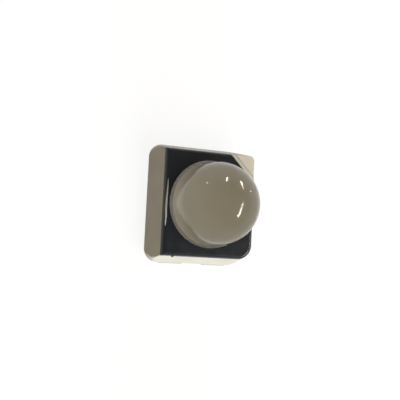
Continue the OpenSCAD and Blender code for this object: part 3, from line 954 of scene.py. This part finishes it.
def leg_outline(inner_start):
    """The leg from a pad's inner corner, round the foot's tip, and back up its outer edge."""
    inner = [(LEAD_IN, inner_start), (LEAD_IN, LOCK_Y - LOCK_HALF), (LEAD_IN + LOCK_DEPTH, LOCK_Y - LOCK_HALF),
             (LEAD_IN + LOCK_DEPTH, LOCK_Y + LOCK_HALF), (LEAD_IN, LOCK_Y + LOCK_HALF),
             (LEAD_IN, blank_end - FOOT_CHAMFER), (LEAD_IN + FOOT_CHAMFER, blank_end)]
    outer = [(LEAD_OUT - FOOT_CHAMFER, blank_end), (LEAD_OUT, blank_end - FOOT_CHAMFER),
             (LEAD_OUT, LOCK_Y + LOCK_HALF), (LEAD_OUT - LOCK_DEPTH, LOCK_Y + LOCK_HALF),
             (LEAD_OUT - LOCK_DEPTH, LOCK_Y - LOCK_HALF), (LEAD_OUT, LOCK_Y - LOCK_HALF)]
    return inner + outer


def cathode_outline(pad_inner_x):
    return ([(LEAD_OUT, PAD_Y), (pad_inner_x, PAD_Y), (pad_inner_x, PAD_END_Y)]
            + leg_outline(PAD_END_Y))


def anode_outline():
    bar_far = -CUP_FLOOR_D / 2
    return ([(LEAD_OUT, -BAR_HALF), (bar_far, -BAR_HALF), (bar_far, BAR_HALF), (LEAD_IN, BAR_HALF)]
            + leg_outline(PAD_END_Y))


# %% [markdown]
# The bench outline is drawn for the lead at +X and +Y. The others are mirror images of it, so two signs
# place each one. A single mirroring turns a mesh inside out, which its signed volume shows.

# %% Stamp, ease, slice and bend
PUNCH_EASE = 0.018
BEND_SLICES = 12


def make_lead(name, outline, sign_x, sign_y):
    work = bmesh.new()
    low = [work.verts.new((x, y, -LEAD_T / 2)) for x, y in outline]
    face = work.faces.new(low)
    raised = bmesh.ops.extrude_face_region(work, geom=[face])
    for item in raised["geom"]:
        if isinstance(item, bmesh.types.BMVert):
            item.co.z = LEAD_T / 2
    bmesh.ops.recalc_face_normals(work, faces=work.faces)
    flat_edges = [e for e in work.edges if abs(e.verts[0].co.z - e.verts[1].co.z) < 1e-6]
    bmesh.ops.bevel(work, geom=flat_edges, offset=PUNCH_EASE, segments=2, profile=0.5, affect="EDGES")
    cuts = [BEND_Y + ARC_LEN * k / BEND_SLICES for k in range(BEND_SLICES + 1)]
    cuts += [drop_end + ARC_LEN * k / BEND_SLICES for k in range(BEND_SLICES + 1)]
    cuts += [first_end + DROP_LEN / 2]
    for travel in cuts:
        everything = work.verts[:] + work.edges[:] + work.faces[:]
        bmesh.ops.bisect_plane(work, geom=everything, plane_co=(0, travel, 0), plane_no=(0, 1, 0), dist=1e-6)
    for vertex in work.verts:
        y, z = bent(vertex.co.y, vertex.co.z)
        vertex.co = (sign_x * vertex.co.x, sign_y * y, z)
    if work.calc_volume(signed=True) < 0:
        bmesh.ops.reverse_faces(work, faces=work.faces)
    mesh = bpy.data.meshes.new(name)
    work.to_mesh(mesh)
    work.free()
    lead = bpy.data.objects.new(name, mesh)
    bpy.context.scene.collection.objects.link(lead)
    return lead


leads = {
    "common_anode_lead": (anode_outline(), 1, 1),
    "red_cathode_lead": (cathode_outline(-0.20), -1, 1),
    "green_cathode_lead": (cathode_outline(FRAME_GAP / 2), -1, -1),
    "blue_cathode_lead": (cathode_outline(FRAME_GAP / 2), 1, -1),
}
for node, (outline, sign_x, sign_y) in leads.items():
    lead = make_lead(node, outline, sign_x, sign_y)
    into_place(lead, node + "_stamping", lead_metal, "lead_metal", node)

# %% [markdown]
# ## Light and background
# The background is a plain white floor. It is a dull surface that takes the object's shadow, and it
# shows itself white to the camera, to reflections and to clear materials with a Light Path node, so the
# lamps don't have to be turned up to get it white.

# %% The floor
FLOOR_HALF = 0.15
FLOOR_GAP = 0.000004
FLOOR_SHADE = 0.12
FLOOR_GLOW = 0.89


def seen_by_eye(tree):
    """One for camera, glossy and transmission rays, else zero."""
    path = tree.nodes.new("ShaderNodeLightPath")
    first = tree.nodes.new("ShaderNodeMath")
    first.operation = "MAXIMUM"
    tree.links.new(path.outputs["Is Camera Ray"], first.inputs[0])
    tree.links.new(path.outputs["Is Glossy Ray"], first.inputs[1])
    second = tree.nodes.new("ShaderNodeMath")
    second.operation = "MAXIMUM"
    tree.links.new(first.outputs[0], second.inputs[0])
    tree.links.new(path.outputs["Is Transmission Ray"], second.inputs[1])
    return second.outputs[0]


floor_mesh = bpy.data.meshes.new("floor")
s = FLOOR_HALF
floor_mesh.from_pydata([(-s, -s, -FLOOR_GAP), (s, -s, -FLOOR_GAP), (s, s, -FLOOR_GAP), (-s, s, -FLOOR_GAP)], [], [(0, 1, 2, 3)])
floor = bpy.data.objects.new("floor", floor_mesh)
bpy.context.scene.collection.objects.link(floor)
floor_finish = bpy.data.materials.new("white_floor")
floor_finish.use_nodes = True
tree = floor_finish.node_tree
tree.nodes.clear()
paper = tree.nodes.new("ShaderNodeBsdfDiffuse")
paper.inputs["Color"].default_value = (FLOOR_SHADE, FLOOR_SHADE, FLOOR_SHADE, 1)
glow = tree.nodes.new("ShaderNodeEmission")
strength = tree.nodes.new("ShaderNodeMath")
strength.operation = "MULTIPLY"
strength.inputs[1].default_value = FLOOR_GLOW
tree.links.new(seen_by_eye(tree), strength.inputs[0])
tree.links.new(strength.outputs[0], glow.inputs["Strength"])
both = tree.nodes.new("ShaderNodeAddShader")
tree.links.new(paper.outputs[0], both.inputs[0])
tree.links.new(glow.outputs[0], both.inputs[1])
out = tree.nodes.new("ShaderNodeOutputMaterial")
tree.links.new(both.outputs[0], out.inputs["Surface"])
floor_mesh.materials.append(floor_finish)
print("floor at the plane that the feet stand on")

# %% [markdown]
# The room is a soft dim sky. It is a warm grey for light that falls on the object, white where the camera
# looks at it, and for reflections it runs from white at floor height to a grey ceiling.

# %% The room
SKY_LEVEL = 0.36
CEILING_LEVEL = 0.32
world = bpy.data.worlds.new("soft_room")
bpy.context.scene.world = world
world.use_nodes = True
tree = world.node_tree
sky = tree.nodes["Background"]
seen = tree.nodes.new("ShaderNodeBackground")
sky.inputs["Color"].default_value = (1.0, 0.85, 0.64, 1)
sky.inputs["Strength"].default_value = SKY_LEVEL
toward = tree.nodes.new("ShaderNodeTexCoord")
parts = tree.nodes.new("ShaderNodeSeparateXYZ")
tree.links.new(toward.outputs["Generated"], parts.inputs[0])
ceiling = between(tree, parts.outputs["Z"], [(0.0, grey(1.0)), (0.25, grey(0.85)), (0.75, grey(CEILING_LEVEL))])
path = tree.nodes.new("ShaderNodeLightPath")
by_eye = tree.nodes.new("ShaderNodeMix")
by_eye.data_type = "RGBA"
tree.links.new(path.outputs["Is Camera Ray"], by_eye.inputs["Factor"])
tree.links.new(ceiling, by_eye.inputs["A"])
by_eye.inputs["B"].default_value = (1, 1, 1, 1)
tree.links.new(by_eye.outputs["Result"], seen.inputs["Color"])
seen.inputs["Strength"].default_value = 1.0
choose = tree.nodes.new("ShaderNodeMixShader")
tree.links.new(seen_by_eye(tree), choose.inputs["Fac"])
tree.links.new(sky.outputs[0], choose.inputs[1])
tree.links.new(seen.outputs[0], choose.inputs[2])
tree.links.new(choose.outputs[0], tree.nodes["World Output"].inputs["Surface"])
print("room level", SKY_LEVEL)

# %% [markdown]
# The dome mirrors the lamps of the room where the photograph was taken. There are three tubes: two
# short streaks near the top of the dome and one long streak on its right. Each lamp is a row of narrow
# strips whose ends lie in the directions that the places along the streak mirror. Two soft lamps do the
# lighting: a key from the right, and a low one from the front. The photograph's lens is lit evenly from
# all round, so both leave the lens to the sky, and neither shows in reflections.

# %% The strip lamps
LAMP_AWAY = 0.20
AIM = Vector((0, 0, dome_z * METRES_PER_MM))


def heading(azimuth, height):
    """A unit vector from compass and height angles in degrees."""
    a, h = math.radians(azimuth), math.radians(height)
    return Vector((math.cos(a) * math.cos(h), math.sin(a) * math.cos(h), math.sin(h)))


def strip_lamp(name, start, end, width_degrees, radiance, tint=(1.0, 0.94, 0.80)):
    """A strip lamp between two headings, as wide and as bright as asked."""
    first, second = heading(*start), heading(*end)
    middle = (first + second).normalized()
    along = (second - first).normalized()
    length = 2 * LAMP_AWAY * math.tan(first.angle(second) / 2)
    width = 2 * LAMP_AWAY * math.tan(math.radians(width_degrees) / 2)
    data = bpy.data.lights.new(name, "AREA")
    data.shape = "RECTANGLE"
    data.size, data.size_y = length, width
    data.color = tint
    data.energy = radiance * math.pi * length * width
    lamp = bpy.data.objects.new(name, data)
    bpy.context.scene.collection.objects.link(lamp)
    turn = Matrix((along, middle.cross(along), middle)).transposed().to_4x4()
    lamp.matrix_world = Matrix.Translation(AIM + LAMP_AWAY * middle) @ turn
    lamp.visible_diffuse = False
    print(name, "is", round(1000 * length), "x", round(1000 * width), "mm")
    return lamp


strip_lamp("long_tube_far_end", (3.0, 45.1), (-22.3, 45.6), 2.6, 75)
strip_lamp("long_tube_near_end", (-22.3, 45.6), (-41.0, 40.2), 2.6, 75)
strip_lamp("upper_tube", (79.6, 18.6), (85.6, 30.6), 2.1, 75)
strip_lamp("right_tube", (48.7, 15.6), (38.9, 27.0), 2.2, 75)
strip_lamp("far_left_spot", (128.8, 12.6), (131.3, 14.6), 2.0, 34)
strip_lamp("far_right_spot", (22.8, 7.2), (25.0, 9.0), 2.0, 9)

# %% The soft lamps, kept off the lens and out of reflections
all_but_lens = bpy.data.collections.new("lit_by_the_soft_lamps")
all_but_lens.objects.link(dome_lens)
all_but_lens.collection_objects[0].light_linking.link_state = "EXCLUDE"
lens_alone = bpy.data.collections.new("lit_by_the_lens_lamp")
lens_alone.objects.link(dome_lens)


def soft_lamp(name, where, energy, spread_degrees, tint, lights=all_but_lens):
    """A far lamp with soft edges that lights only what the given collection allows."""
    data = bpy.data.lights.new(name, "SUN")
    data.energy, data.angle, data.color = energy, math.radians(spread_degrees), tint
    lamp = bpy.data.objects.new(name, data)
    bpy.context.scene.collection.objects.link(lamp)
    lamp.matrix_world = where.to_track_quat("Z", "Y").to_matrix().to_4x4()
    lamp.visible_glossy = False
    lamp.light_linking.receiver_collection = lights
    print(name, "from", [round(v, 2) for v in where])


soft_lamp("soft_key", heading(-62, 52), 2.3, 40, (1.0, 0.99, 0.97))
soft_lamp("front_fill", heading(-80, 8), 2.0, 15, (0.88, 0.95, 1.0))
soft_lamp("rear_fill", heading(80, 14), 0.7, 15, (0.76, 0.90, 1.0))
soft_lamp("left_glow", heading(200, 12), 0.36, 60, (1.0, 0.90, 0.70), lens_alone)

# %% [markdown]
# ## Colour and finish
# The picture is shown plainly, so a colour renders about as it is written.

bpy.context.scene.view_settings.view_transform = "Standard"
